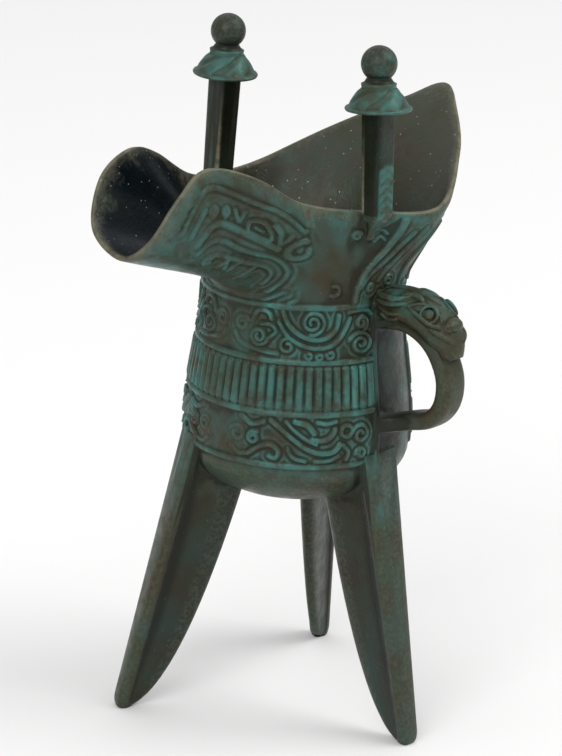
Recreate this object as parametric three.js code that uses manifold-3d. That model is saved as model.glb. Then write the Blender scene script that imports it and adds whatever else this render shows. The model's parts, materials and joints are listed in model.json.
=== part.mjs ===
import * as THREE from "three";
import { LoftGeometry } from "three/addons/geometries/LoftGeometry.js";
import { mergeVertices } from "three/addons/utils/BufferGeometryUtils.js";
import Module from "manifold-3d";

// Sizes in millimetres, on axes through the middle of the bowl: spout to -X, tail to +X,
// handle to -Y, floor at Z = 0. Bearings are degrees from +X towards +Y.

// Bowl and wall
const BOWL_RADIUS = 32.4;
const BOWL_Z = 81;
const BOWL_DEPTH = 16.4;
const WAIST_RADIUS = 28.6;
const WAIST_Z = 127;
const BELLY = [33.2, 98];
const NECK = [28.8, 108];
const WALL = 2.2;
const RIM_WALL = 1.5;
const COLUMNS = 72;
const FLARE_ROWS = 6;
const BOTTOM_ROWS = 4;
const FLOOR_ROWS = 3;
const HALVINGS = 30;

// Half of the rim, from the tip of the tail to the lip of the spout: where it passes, from
// which bearing of the waist its wall rises, and how steeply the wall climbs as it gets there.
const RIM = [
  { at: [58.5, 0, 176], bearing: 0, climb: 35 },
  { at: [53, 9, 171.5], bearing: 14, climb: 38 },
  { at: [38, 23.5, 162.5], bearing: 35, climb: 48 },
  { at: [16, 35.5, 152.5], bearing: 67, climb: 72 },
  { at: [-9, 28.5, 154], bearing: 94, climb: 80 },
  { at: [-26, 22.5, 157.5], bearing: 112, climb: 72 },
  { at: [-41.5, 20, 166], bearing: 126, climb: 62 },
  { at: [-56.5, 15.5, 170], bearing: 138, climb: 45 },
  { at: [-66.5, 15.5, 163.5], bearing: 149, climb: 35 },
  { at: [-73, 11, 152], bearing: 160, climb: 25 },
  { at: [-73, 0, 146], bearing: 180, climb: 18 },
];
const FLARE_START = 0.35;
const FLARE_END = 0.45;

// Ornament bands, from the lower edge of the lower one to the waist
const LOWER_BAND = [82, 97];
const UPPER_BAND = [111.5, 127];
const LINE_HEIGHT = 0.5;
const LINE_WIDTH = 1.4;
const RIB_WIDTH = 2.6;
const RIB_HEIGHT = 0.9;
const RIB_GAP = 0.2;
const PLAIN_FROM = -94;
const PLAIN_TO = -53;
const SCROLL_WIDTH = 2.6;
const SCROLL_HEIGHT = 0.8;
const ROOT = 0.8;

// Panels of scrolls: bearing of the middle, and which way round the scrolls lie
const PANELS = [
  { bearing: -131, hand: 1 },
  { bearing: 131, hand: -1 },
];

// Raised lines on both sides of the spout and of the tail: stations counted as in RIM, and
// shares of the height from the waist to the rim.
const FLARE_LINES = [
  [[8.8, 0.86], [7.7, 0.88], [6.8, 0.79], [5.8, 0.74], [5, 0.62]],
  [[8.6, 0.72], [7.8, 0.74], [7.4, 0.56], [6.7, 0.52], [5.8, 0.66]],
  [[8.2, 0.5], [7.4, 0.4], [6.6, 0.37], [5.8, 0.47]],
  [[3.4, 0.1], [2.9, 0.35], [2, 0.65]],
];
const FLARE_LINE_STEPS = 5;

// Legs: blades with a strip outside and a ridge inside. The last widths are shares of the strip's.
const LEGS = [
  { bearing: -90, foot: 50.7, slimming: -1.1 },
  { bearing: 30, foot: 50.7, slimming: 0 },
  { bearing: 150, foot: 52.4, slimming: 1.1 },
];
const LEG_HEIGHTS = [0, 1.4, 4, 10, 20, 34, 50, 65, 75, 84];
const LEG_TOP = 34.2;
const LEG_TOP_Z = 78;
const RIDGE_TOP_RADIUS = 15.2;
const RIDGE_TOP_Z = 66;
const RIDGE_REACH = 33;
const RIDGE_POWER = 0.55;
const RIDGE_ROOT_SLOPE = 0.7;
const STRIP_FOOT_WIDTH = 5.8;
const STRIP_WIDENING = 0.095;
const STRIP_DEPTH = 3;
const FOOT_ROUNDING = 1.6;
const FOOT_ROUNDING_Z = 4;
const FOOT_DEPTH = 4;
const STRIP_EDGE = 0.7;
const STRIP_FACE = 0.72;
const NECK_STEP = 0.8;
const NECK_WIDTH = 0.76;
const WEB_PLACE = 0.55;
const WEB_WIDTH = 0.62;
const RIDGE_WIDTH = 0.4;

// Handle: a strap whose upper arm is an animal's head
const HANDLE_BEARING = -86;
const STRAP_WIDTH = 9.4;
const STRAP_THICKNESS = 5;
const STRAP_EDGE = 1.2;
const STRAP_OUT = [[28, 122], [39, 123], [47.5, 119], [52.5, 111]];
const STRAP_BACK = [[52.5, 103], [48.5, 97.5], [41, 95], [29, 91]];
const STRAP_STEPS = 14;
const HEAD_PATH = [[28, 126], [37, 127.5], [45, 126], [51, 121], [53.5, 115.5]];
const HEAD_WIDTHS = [9, 12, 13, 10.5, 6];
const HEAD_HEIGHTS = [9, 9.5, 9.5, 8.5, 5];
const HEAD_STEPS = 8;
const HEAD_SIDES = 8;
const EYE_RADIUS = 2.3;
const EYE_AT = [47, 4.6, 127.5];
const NOSTRIL_RADIUS = 1.7;
const NOSTRIL_AT = [53.2, 2.8, 122];
const EAR_RADIUS = 2.4;
const EAR_AT = [36, 3.6, 131];
const EAR_RISE = 1.3;
const BALL_SIDES = 7;
const BALL_ROWS = 4;

// Posts with caps, standing on the rim
const POST_X = -5;
const POST_Y = 30.2;
const POST_Z = 158;
const POST_LEAN = 2.8;
const POST_FOOT_Z = 146;
const POST_FOOT_SIDE = 6.8;
const POST_TOP_SIDE = 7.6;
const POST_EDGE = 0.6;
const CAP_RADIUS = 9.3;
const CAP_Z = 182.2;
const CAP_THICKNESS = 1;
const COLLAR_RADIUS = 4.3;
const COLLAR_Z = 189.8;
const KNOB_RADIUS = 5;
const KNOB_Z = 195;
const CAP_SIDES = 12;
const CAP_ROWS = 3;
const KNOB_ROWS = 4;

const BRONZE = 0x56604c;

const wasm = await Module();
wasm.setup();

// A closed geometry as a solid that can be joined and cut. Its corners are welded, and the
// triangles that shrink to nothing at a pole are left out.
function solid(geometry) {
  const bare = new THREE.BufferGeometry();
  bare.setAttribute("position", geometry.getAttribute("position"));
  bare.setIndex(geometry.index);
  const welded = mergeVertices(bare, 1e-4);
  const triangles = [];
  for (let i = 0; i < welded.index.count; i += 3) {
    const corners = [0, 1, 2].map((k) => welded.index.getX(i + k));
    if (new Set(corners).size === 3) triangles.push(...corners);
  }
  return new wasm.Manifold(
    new wasm.Mesh({
      numProp: 3,
      vertProperties: welded.attributes.position.array,
      triVerts: new Uint32Array(triangles),
    }),
  );
}

function loft(sections, capped = true) {
  return solid(new LoftGeometry(sections, { capStart: capped, capEnd: capped }));
}

function lerp(from, to, share) {
  return THREE.MathUtils.lerp(from, to, share);
}

// A point at a radius and bearing, moved sideways along the circle by an offset.
function polar(radius, bearing, z, sideways = 0) {
  const angle = THREE.MathUtils.degToRad(bearing);
  const x = radius * Math.cos(angle) - sideways * Math.sin(angle);
  const y = radius * Math.sin(angle) + sideways * Math.cos(angle);
  return new THREE.Vector3(x, y, z);
}

// Wall of the bowl between its widest part and the waist
const wallCurve = new THREE.CubicBezierCurve(
  new THREE.Vector2(BOWL_RADIUS, BOWL_Z),
  new THREE.Vector2(...BELLY),
  new THREE.Vector2(...NECK),
  new THREE.Vector2(WAIST_RADIUS, WAIST_Z),
);

// Where a rising function between 0 and 1 reaches a value.
function reaches(value, rising) {
  let low = 0;
  let high = 1;
  for (let i = 0; i < HALVINGS; i++) {
    const middle = (low + high) / 2;
    if (rising(middle) < value) low = middle;
    else high = middle;
  }
  return low;
}

function wallRadius(z) {
  return wallCurve.getPoint(reaches(z, (share) => wallCurve.getPoint(share).y)).x;
}

// The rim and, in step with it, the bearing and climb of the wall under it
function closedCurve(half) {
  const back = half.slice(1, -1).reverse();
  const mirrored = back.map((p) => new THREE.Vector3(p.x, -p.y, p.z));
  return new THREE.CatmullRomCurve3([...half, ...mirrored], true, "catmullrom");
}

const rimCurve = closedCurve(RIM.map((s) => new THREE.Vector3(...s.at)));
const waistCurve = closedCurve(RIM.map((s) => polar(1, s.bearing, s.climb)));

const STATIONS = rimCurve.points.length;

// The wall above the waist at one station: the bearing that it rises from, and its curve.
function flareAt(station) {
  const turn = THREE.MathUtils.euclideanModulo(station / STATIONS, 1);
  const rim = rimCurve.getPoint(turn);
  const guide = waistCurve.getPoint(turn);
  const bearing = THREE.MathUtils.radToDeg(Math.atan2(guide.y, guide.x));
  const waist = polar(WAIST_RADIUS, bearing, WAIST_Z);
  const climb = THREE.MathUtils.degToRad(guide.z);
  const run = new THREE.Vector3(rim.x - waist.x, rim.y - waist.y, 0).normalize();
  const arrival = run.multiplyScalar(Math.cos(climb)).setZ(Math.sin(climb));
  const rise = new THREE.Vector3(0, 0, FLARE_START * (rim.z - waist.z));
  const reach = FLARE_END * rim.distanceTo(waist);
  const curve = new THREE.CubicBezierCurve3(
    waist,
    waist.clone().add(rise),
    rim.clone().addScaledVector(arrival, -reach),
    rim,
  );
  return { bearing, curve };
}

const columns = [];
for (let j = 0; j < COLUMNS; j++) {
  const hand = j > COLUMNS / 2 ? -1 : 1;
  const bearing = (hand > 0 ? j : COLUMNS - j) * (360 / COLUMNS);
  const share = reaches(bearing, (way) => Math.abs(flareAt((way * STATIONS) / 2).bearing));
  columns.push(flareAt((hand * share * STATIONS) / 2));
}

function ring(radius, z) {
  return columns.map((column) => polar(radius, column.bearing, z));
}

// Bowl, spout and tail: one wall, out and up to the rim and down again inside
function shell() {
  const outside = [];
  const bottom = new THREE.EllipseCurve(0, BOWL_Z, BOWL_RADIUS, BOWL_DEPTH, -Math.PI / 2, 0);
  for (const point of bottom.getPoints(BOTTOM_ROWS).slice(0, -1)) outside.push(ring(point.x, point.y));
  for (const line of [...LOWER_BAND, ...UPPER_BAND]) {
    const top = Math.min(line + LINE_WIDTH / 2, WAIST_Z);
    outside.push(ring(wallRadius(top - LINE_WIDTH), top - LINE_WIDTH));
    outside.push(ring(wallRadius(top - LINE_WIDTH / 2) + LINE_HEIGHT, top - LINE_WIDTH / 2));
    outside.push(ring(wallRadius(top), top));
  }

  const flare = [];
  for (let k = 0; k <= FLARE_ROWS; k++) {
    flare.push(columns.map((column) => column.curve.getPoint(k / FLARE_ROWS)));
  }
  outside.push(...flare.slice(1));

  const lining = flare.map((row, k) => row.map((point, j) => {
    const ahead = row[(j + 1) % COLUMNS];
    const behind = row[(j + COLUMNS - 1) % COLUMNS];
    const above = flare[Math.min(k + 1, FLARE_ROWS)][j];
    const below = flare[Math.max(k - 1, 0)][j];
    const out = ahead.clone().sub(behind).cross(above.clone().sub(below)).normalize();
    return point.clone().addScaledVector(out, -lerp(WALL, RIM_WALL, k / FLARE_ROWS));
  }));
  const inside = lining.reverse().filter((row, i) => i % 2 === 0);
  const middle = (BOWL_Z + WAIST_Z) / 2;
  inside.push(ring(wallRadius(middle) - WALL, middle));
  inside.push(...cavity(0));
  return loft([...outside, ...inside], false);
}

// Rings down the inside of the bowl, from its widest part to its floor.
function cavity(grow) {
  const radius = BOWL_RADIUS - WALL + grow;
  const depth = BOWL_DEPTH - WALL + grow;
  const floor = new THREE.EllipseCurve(0, BOWL_Z, radius, depth, 0, -Math.PI / 2, true);
  return floor.getPoints(FLOOR_ROWS).map((point) => ring(point.x, point.y));
}

// The hollow of the bowl, reaching halfway into its wall, to trim what is joined on outside
function hollow() {
  const grow = WALL / 2;
  const top = ring(WAIST_RADIUS - grow, WAIST_Z);
  const middle = (BOWL_Z + WAIST_Z) / 2;
  const lid = ring(0, WAIST_Z);
  return loft([...cavity(grow).reverse(), ring(wallRadius(middle) - grow, middle), top, lid], false);
}

// A raised line along a route on a surface, which is a function of two numbers.
function ridge(surface, route, width, height) {
  const places = route.map((point) => surface(point.x, point.y));
  const sections = route.map((point, i) => {
    const step = 0.01;
    const along = surface(point.x + step, point.y).sub(places[i]);
    const up = surface(point.x, point.y + step).sub(places[i]);
    const out = along.cross(up).normalize();
    const next = places[Math.min(i + 1, places.length - 1)];
    const ahead = next.clone().sub(places[Math.max(i - 1, 0)]).normalize();
    const across = out.clone().cross(ahead).multiplyScalar(width / 2);
    const crest = places[i].clone().addScaledVector(out, height);
    const buried = places[i].clone().addScaledVector(out, -ROOT);
    return [buried.clone().add(across), crest, buried.clone().sub(across)];
  });
  return loft(sections);
}

// The wall of the bowl about a bearing and height, in millimetres along and up from there.
function wallAbout(bearing, z) {
  return (x, y) => {
    const radius = wallRadius(z + y);
    return polar(radius, bearing + THREE.MathUtils.radToDeg(x / radius), z + y);
  };
}

// Upright ribs between the two bands
function ribs() {
  const half = (UPPER_BAND[0] - LOWER_BAND[1]) / 2;
  const reach = half - LINE_WIDTH / 2 - RIB_GAP;
  const route = [new THREE.Vector2(0, -reach), new THREE.Vector2(0, reach)];
  const made = [];
  for (let i = 0; i < COLUMNS; i++) {
    const bearing = ((i + 0.5) * 360) / COLUMNS - 180;
    if (bearing > PLAIN_FROM && bearing < PLAIN_TO) continue;
    made.push(ridge(wallAbout(bearing, LOWER_BAND[1] + half), route, RIB_WIDTH, RIB_HEIGHT));
  }
  return made;
}

// A curl that closes from one radius to another as it turns.
function curl(x, y, fromRadius, toRadius, fromAngle, turn, steps) {
  const route = [];
  for (let i = 0; i <= steps; i++) {
    const angle = THREE.MathUtils.degToRad(fromAngle + (turn * i) / steps);
    const radius = lerp(fromRadius, toRadius, i / steps);
    route.push(new THREE.Vector2(x + radius * Math.cos(angle), y + radius * Math.sin(angle)));
  }
  return route;
}

function sweep(points, steps) {
  return new THREE.SplineCurve(points.map((p) => new THREE.Vector2(...p))).getPoints(steps);
}

// The main scrolls of the two bands: an eye in a crescent above, a long wave below, and curls
function scrolls() {
  const upper = [
    curl(-0.5, 2.2, 3.4, 1.2, -100, 440, 7),
    sweep([[-8.5, 5], [-5.5, -0.6], [0.5, -4.2], [6.5, -2], [9.5, 3.4]], 6),
    curl(14.5, -1.4, 3.9, 1.3, 100, 420, 7),
  ];
  const lower = [
    sweep([[-10.7, 4.5], [-4.5, 0.6], [3.4, -2.4], [8.5, -1.2], [10.5, 3]], 6),
    curl(15.6, -0.6, 3.9, 1.3, 120, 420, 7),
  ];
  const bands = [
    { z: (UPPER_BAND[0] + UPPER_BAND[1]) / 2, routes: upper },
    { z: (LOWER_BAND[0] + LOWER_BAND[1]) / 2, routes: lower },
  ];
  const made = [];
  for (const { bearing, hand } of PANELS) {
    for (const { z, routes } of bands) {
      for (const route of routes) {
        const turned = route.map((point) => new THREE.Vector2(hand * point.x, point.y));
        made.push(ridge(wallAbout(bearing, z), turned, SCROLL_WIDTH, SCROLL_HEIGHT));
      }
    }
  }
  return made;
}

// Lines that follow the rim on the spout and sweep up the tail, alike on both sides
function flareLines() {
  const surface = (station, share) => flareAt(station).curve.getPoint(share);
  const made = [];
  for (const hand of [1, -1]) {
    for (const line of FLARE_LINES) {
      const route = sweep(line, FLARE_LINE_STEPS).map((p) => new THREE.Vector2(hand * p.x, p.y));
      made.push(ridge(surface, route, SCROLL_WIDTH, SCROLL_HEIGHT));
    }
  }
  return made;
}

function ridgeRadius(z) {
  if (z < RIDGE_TOP_Z) {
    return RIDGE_TOP_RADIUS + RIDGE_REACH * (1 - (z / RIDGE_TOP_Z) ** RIDGE_POWER);
  }
  return RIDGE_TOP_RADIUS + RIDGE_ROOT_SLOPE * (z - RIDGE_TOP_Z);
}

// A blade leg: a strip along its outer edge, a web behind it and a ridge inside
function leg({ bearing, foot, slimming }) {
  const sections = LEG_HEIGHTS.map((z) => {
    const round = Math.max(0, 1 - z / FOOT_ROUNDING_Z) * FOOT_ROUNDING;
    const outer = lerp(foot, LEG_TOP, z / LEG_TOP_Z) - round;
    const inner = Math.min(ridgeRadius(z) + slimming, outer - FOOT_DEPTH);
    const half = (STRIP_FOOT_WIDTH + STRIP_WIDENING * z - round) / 2;
    const shoulder = outer - Math.min(STRIP_DEPTH, (outer - inner) / 2);
    const side = [
      [inner, RIDGE_WIDTH],
      [lerp(shoulder, inner, WEB_PLACE), WEB_WIDTH],
      [shoulder - NECK_STEP, NECK_WIDTH],
      [shoulder, 1],
      [outer - STRIP_EDGE, 1],
      [outer, STRIP_FACE],
    ];
    const far = side.map(([radius, share]) => polar(radius, bearing, z, share * half));
    const near = side.map(([radius, share]) => polar(radius, bearing, z, -share * half));
    return [...near, ...far.reverse()];
  });
  return loft(sections);
}

// The strap of the handle, square with broken edges, along its path out from the bowl and back
function strap() {
  const points = [...STRAP_OUT, ...STRAP_BACK].map((p) => new THREE.Vector2(...p));
  const path = new THREE.SplineCurve(points);
  const half = STRAP_WIDTH / 2;
  const thick = STRAP_THICKNESS / 2;
  const flat = half - STRAP_EDGE;
  const outline = [[half, -0.5], [half, 0.5], [flat, 1], [-flat, 1]];
  const corners = [...outline, ...outline.map(([side, up]) => [-side, -up])];
  const sections = [];
  for (let i = 0; i <= STRAP_STEPS; i++) {
    const middle = path.getPoint(i / STRAP_STEPS);
    const along = path.getTangent(i / STRAP_STEPS);
    sections.push(corners.map(([side, up]) => {
      const radius = middle.x - along.y * up * thick;
      return polar(radius, HANDLE_BEARING, middle.y + along.x * up * thick, side);
    }));
  }
  return loft(sections);
}

// A place on the head: radius from the bowl's axis, distance to one side, height.
function onHead([radius, sideways, z], hand) {
  return polar(radius, HANDLE_BEARING, z, hand * sideways);
}

function ball(radius, centre, rise = 1) {
  const made = new THREE.SphereGeometry(radius, BALL_SIDES, BALL_ROWS).scale(1, 1, rise);
  return solid(made.translate(centre.x, centre.y, centre.z));
}

// The animal's head along the upper arm, with eyes, nostrils and ears
function head() {
  const path = new THREE.SplineCurve(HEAD_PATH.map((p) => new THREE.Vector2(...p)));
  const girth = new THREE.SplineCurve(HEAD_WIDTHS.map((w, i) => new THREE.Vector2(w, HEAD_HEIGHTS[i])));
  const sections = [];
  for (let i = 0; i <= HEAD_STEPS; i++) {
    const middle = path.getPoint(i / HEAD_STEPS);
    const along = path.getTangent(i / HEAD_STEPS);
    const size = girth.getPoint(i / HEAD_STEPS);
    const section = [];
    for (let corner = 0; corner < HEAD_SIDES; corner++) {
      const angle = (corner / HEAD_SIDES) * 2 * Math.PI;
      const up = (Math.sin(angle) * size.y) / 2;
      const side = (Math.cos(angle) * size.x) / 2;
      const radius = middle.x - along.y * up;
      section.push(polar(radius, HANDLE_BEARING, middle.y + along.x * up, side));
    }
    sections.push(section);
  }
  const made = [loft(sections)];
  for (const hand of [-1, 1]) {
    made.push(ball(EYE_RADIUS, onHead(EYE_AT, hand)));
    made.push(ball(NOSTRIL_RADIUS, onHead(NOSTRIL_AT, hand)));
    made.push(ball(EAR_RADIUS, onHead(EAR_AT, hand), EAR_RISE));
  }
  return made;
}

// A square post with its cap and knob, leaning in towards the middle
function post(hand) {
  const lean = Math.tan(THREE.MathUtils.degToRad(POST_LEAN));
  const axis = (z) => new THREE.Vector2(POST_X, hand * (POST_Y - lean * (z - POST_Z)));
  const shaft = [POST_FOOT_Z, CAP_Z + 2 * CAP_THICKNESS].map((z, end) => {
    const half = (end ? POST_TOP_SIDE : POST_FOOT_SIDE) / 2;
    const cut = half - POST_EDGE;
    const outline = [[half, -cut], [half, cut], [cut, half], [-cut, half]];
    const corners = [...outline, ...outline.map(([x, y]) => [-x, -y])];
    return corners.map(([x, y]) => new THREE.Vector3(axis(z).x + x, axis(z).y + y, z));
  });

  const flareOut = new THREE.QuadraticBezierCurve(
    new THREE.Vector2(CAP_RADIUS, CAP_Z + CAP_THICKNESS),
    new THREE.Vector2(COLLAR_RADIUS + 1, CAP_Z + 2 * CAP_THICKNESS),
    new THREE.Vector2(COLLAR_RADIUS, COLLAR_Z),
  );
  const neck = KNOB_Z - Math.sqrt(KNOB_RADIUS ** 2 - (COLLAR_RADIUS - 1) ** 2);
  const start = Math.asin((neck - KNOB_Z) / KNOB_RADIUS);
  const knob = new THREE.EllipseCurve(0, KNOB_Z, KNOB_RADIUS, KNOB_RADIUS, start, Math.PI / 2);
  const profile = [
    new THREE.Vector2(0, CAP_Z),
    new THREE.Vector2(CAP_RADIUS, CAP_Z),
    ...flareOut.getPoints(CAP_ROWS),
    new THREE.Vector2(COLLAR_RADIUS, neck),
    ...knob.getPoints(KNOB_ROWS).slice(0, -1),
    new THREE.Vector2(0, KNOB_Z + KNOB_RADIUS),
  ];
  const cap = new THREE.LatheGeometry(profile, CAP_SIDES);
  cap.rotateX(Math.PI / 2);
  cap.translate(0, 0, -CAP_Z);
  cap.rotateX(THREE.MathUtils.degToRad(hand * POST_LEAN));
  cap.translate(axis(CAP_Z).x, axis(CAP_Z).y, CAP_Z);
  return loft(shaft).add(solid(cap));
}

function join(solids) {
  return wasm.Manifold.union(solids);
}

// The whole casting, stood with the middle of its plan on the origin
function vessel() {
  const grown = join([strap(), ...head(), ...LEGS.map(leg)]);
  const trimmed = grown.subtract(hollow());
  const whole = join([shell(), trimmed, post(1), post(-1), ...ribs(), ...scrolls(), ...flareLines()]);
  const mesh = whole.getMesh();
  const geometry = new THREE.BufferGeometry();
  geometry.setAttribute("position", new THREE.BufferAttribute(mesh.vertProperties, 3));
  geometry.setIndex(new THREE.BufferAttribute(mesh.triVerts, 1));
  geometry.computeBoundingBox();
  const middle = geometry.boundingBox.getCenter(new THREE.Vector3());
  geometry.translate(-middle.x, -middle.y, 0);
  geometry.computeVertexNormals();
  const bronze = new THREE.MeshStandardMaterial({ color: BRONZE, metalness: 0.8, roughness: 0.55 });
  const made = new THREE.Mesh(geometry, bronze);
  made.name = "vessel";
  return made;
}

const part = new THREE.Group();
part.add(vessel());

export default part;
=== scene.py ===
import json
import math

import bpy
import numpy as np
from mathutils import Matrix, Vector, kdtree


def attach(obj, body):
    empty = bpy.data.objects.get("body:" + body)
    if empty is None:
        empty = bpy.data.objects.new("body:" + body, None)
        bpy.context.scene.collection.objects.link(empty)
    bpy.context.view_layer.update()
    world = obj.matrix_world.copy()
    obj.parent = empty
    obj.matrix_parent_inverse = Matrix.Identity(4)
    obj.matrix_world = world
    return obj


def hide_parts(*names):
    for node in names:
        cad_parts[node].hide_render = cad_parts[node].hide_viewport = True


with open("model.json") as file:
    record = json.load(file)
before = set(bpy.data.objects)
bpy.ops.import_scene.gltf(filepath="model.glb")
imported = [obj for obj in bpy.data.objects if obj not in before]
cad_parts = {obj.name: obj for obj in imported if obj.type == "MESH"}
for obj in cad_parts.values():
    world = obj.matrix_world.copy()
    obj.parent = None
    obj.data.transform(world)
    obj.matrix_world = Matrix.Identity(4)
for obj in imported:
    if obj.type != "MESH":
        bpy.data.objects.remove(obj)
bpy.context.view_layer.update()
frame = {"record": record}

# Sizes are in millimetres on axes through the middle of the bowl: spout to -X, tail to +X,
# handle to -Y, floor at Z = 0. Bearings are degrees from +X towards +Y.
METRE = 1000
FOOT_RADIUS = 47.1
mounts = {mount["name"]: mount["pos_m"] for mount in frame["record"]["mounts"]}
AXIS = np.array(mounts["foot_handle"]) * METRE + (0, FOOT_RADIUS, 0)

# Bowl and wall
BOWL_RADIUS = 32.4
BOWL_Z = 81
BOWL_DEPTH = 16.4
WAIST_RADIUS = 28.6
WAIST_Z = 127
BELLY = (33.2, 98)
NECK = (28.8, 108)
WALL = 2.2
RIM_WALL = 1.5
COLUMNS = 648
BOTTOM_ROWS = 14
WALL_ROWS = 120
FLARE_ROWS = 104
LINING_STEP = 3

# Half of the rim, from the tip of the tail to the lip of the spout: place, bearing of the
# waist that the wall rises from, and how steeply it climbs as it gets there.
RIM = [
    ((58.5, 0, 176), 0, 35),
    ((53, 9, 171.5), 14, 38),
    ((38, 23.5, 162.5), 35, 48),
    ((16, 35.5, 152.5), 67, 72),
    ((-9, 28.5, 154), 94, 80),
    ((-26, 22.5, 157.5), 112, 72),
    ((-41.5, 20, 166), 126, 62),
    ((-56.5, 15.5, 170), 138, 45),
    ((-66.5, 15.5, 163.5), 149, 35),
    ((-73, 11, 151.2), 160, 25),
    ((-73, 0, 145), 180, 18),
]
FLARE_START = 0.35
FLARE_END = 0.45

# Ornament bands
LOWER_BAND = (82, 97)
UPPER_BAND = (111.5, 127)
LINE_WIDTH = 1.5
LINE_HEIGHT = 0.6
RIB_PITCH = 5
RIB_HEIGHT = 0.9
PLAIN_FROM = -94
PLAIN_TO = -53
STROKE_HEIGHT = 0.85
ECHO_HEIGHT = 0.24
ECHO_PITCH = 1.25
SOFT_EDGE = 0.3
WORN_FROM = 164
FRONT_WEAR = 0.4
SPOUT_WEAR = 0.7

# Legs
LEGS = [(-90, 50.7, -2.1), (30, 50.7, -0.6), (150, 52.4, 0.6)]
LEG_ROWS = 60
LEG_END_Z = 84
LEG_TOP = 34.2
LEG_TOP_Z = 78
RIDGE_TOP_RADIUS = 15.2
RIDGE_TOP_Z = 66
RIDGE_REACH = 33
RIDGE_POWER = 0.55
RIDGE_ROOT_SLOPE = 0.7
STRIP_FOOT_WIDTH = 5.8
STRIP_WIDENING = 0.095
STRIP_DEPTH = 3
FOOT_ROUNDING = 1.6
FOOT_ROUNDING_Z = 4
FOOT_DEPTH = 4

# Handle
HANDLE_BEARING = -86
STRAP_WIDTH = 9.4
STRAP_THICKNESS = 5
STRAP_POWER = 0.55
STRAP_PATH = [
    (28, 122), (39, 123), (47.5, 119), (52.5, 111), (52.5, 103), (48.5, 97.5), (41, 95), (29, 91),
]
HEAD_PATH = [(28, 126), (37, 127.5), (45, 126), (51, 121), (53.5, 115.5)]
HEAD_WIDTHS = [9, 12, 13, 10.5, 6]
HEAD_HEIGHTS = [9, 9.5, 9.5, 8.5, 5]
HEAD_POWER = 0.8
EYE = (0.545, 42)
EYE_RING = 2.4
NOSTRIL = (0.7, 66)
NOSTRIL_RING = 0.9
# Ridges on each side of the head: radii along them, and their places on it
HEAD_RIDGES = [
    ("lid", [0.4, 0.6, 0.6, 0.4], [(0.37, 22), (0.46, 56), (0.57, 66), (0.65, 56)]),
    ("cheek", [0.4, 0.7, 0.7, 0.4], [(0.37, 22), (0.5, 14), (0.6, 20), (0.68, 38)]),
    ("ear", [0.5, 0.9, 0.9, 0.4], [(0.27, 52), (0.34, 68), (0.41, 68), (0.46, 58)]),
    ("lip", [0.4, 0.8, 0.7, 0.4], [(0.62, 8), (0.7, 22), (0.78, 44), (0.83, 74)]),
    ("mane", [0.5, 0.9, 0.8, 0.4], [(0.04, 58), (0.14, 36), (0.25, 32), (0.34, 60)]),
    ("mane", [0.5, 0.8, 0.7, 0.4], [(0.07, 26), (0.16, 12), (0.26, 14), (0.35, 28)]),
    ("mane", [0.5, 0.7, 0.4], [(0.1, 2), (0.18, -12), (0.3, -8)]),
    ("mane", [0.5, 0.7, 0.4], [(0.1, -16), (0.16, -40), (0.28, -28)]),
]

# Posts
POST_X = -5
POST_Y = 30.2
POST_Z = 158
POST_LEAN = 2.8
POST_FOOT_Z = 146
POST_FOOT_SIDE = 6.8
POST_ROOT_Z = 154
POST_ROOT_IN = 3.2
POST_TOP_SIDE = 7.6
CAP_RADIUS = 9.3
CAP_Z = 182.2
CAP_THICKNESS = 1
COLLAR_RADIUS = 4.3
COLLAR_Z = 189.8
KNOB_RADIUS = 5
KNOB_Z = 195

MOST_TRIANGLES = 192000


def smoothstep(low, high, value):
    share = np.clip((value - low) / (high - low), 0, 1)
    return share * share * (3 - 2 * share)


def bezier(points, share):
    """Cubic curve; points has four along its second-last axis, share one number for each curve."""
    t = np.asarray(share, float)[..., None]
    a, b, c, d = (points[..., i, :] for i in range(4))
    return (1 - t) ** 3 * a + 3 * (1 - t) ** 2 * t * b + 3 * (1 - t) * t * t * c + t**3 * d


def catmull_rom(points, station, closed=False):
    points = np.asarray(points, float)
    count = len(points)
    start = np.floor(station).astype(int)
    if not closed:
        start = np.clip(start, 0, count - 2)
    t = (station - start)[..., None]
    near = [start + k for k in (-1, 0, 1, 2)]
    if closed:
        a, b, c, d = (points[k % count] for k in near)
    else:
        a, b, c, d = (points[np.clip(k, 0, count - 1)] for k in near)
    rise, fall = (c - a) / 2, (d - b) / 2
    return (2 * b - 2 * c + rise + fall) * t**3 + (3 * c - 3 * b - 2 * rise - fall) * t**2 + rise * t + b


def polar(radius, bearing, z, sideways=0):
    angle = np.radians(bearing)
    x = radius * np.cos(angle) - sideways * np.sin(angle)
    y = radius * np.sin(angle) + sideways * np.cos(angle)
    return np.stack(np.broadcast_arrays(x, y, z), -1)


# Wall between the widest part of the bowl and the waist
_wall_shares = np.linspace(0, 1, 400)
_wall_points = np.array([(BOWL_RADIUS, BOWL_Z), BELLY, NECK, (WAIST_RADIUS, WAIST_Z)], float)
_wall = bezier(np.broadcast_to(_wall_points, (400, 4, 2)), _wall_shares)


def wall_radius(z):
    return np.interp(z, _wall[:, 1], _wall[:, 0])


def closed_loop(half):
    half = np.array(half, float)
    return np.concatenate([half, half[-2:0:-1] * (1, -1, 1)])


rim_loop = closed_loop([place for place, _, _ in RIM])
guide_loop = closed_loop([polar(1, bearing, climb) for _, bearing, climb in RIM])
STATIONS = len(rim_loop)


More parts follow.
